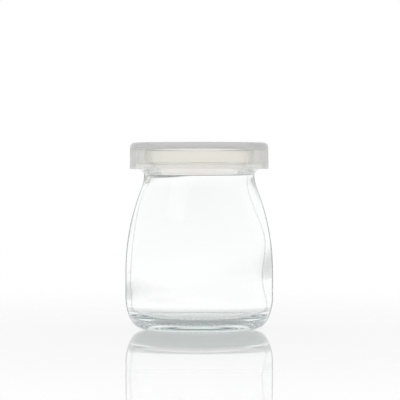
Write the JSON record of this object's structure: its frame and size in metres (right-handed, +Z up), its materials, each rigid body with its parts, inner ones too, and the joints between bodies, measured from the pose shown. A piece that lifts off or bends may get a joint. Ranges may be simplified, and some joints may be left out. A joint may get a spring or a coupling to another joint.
{
  "type": "glass pudding jar",
  "caption": "Small clear glass pudding jar, empty, with barrel belly, waisted neck and knurled foot, shut by a frosted push-on plastic cap.",
  "frame": {"origin": "centre of the jar's foot, on the surface it stands on", "axes": "+Z up along the jar's axis of revolution; the jar is the same all round, so +X and +Y are free"},
  "size_m": [0.056, 0.056, 0.071],
  "materials": {
    "clear_glass": "gloss",
    "frosted_plastic": "satin"
  },
  "bodies": {
    "root": {"glass_jar": "clear_glass", "snap_cap": "frosted_plastic"}
  },
  "joints": []
}
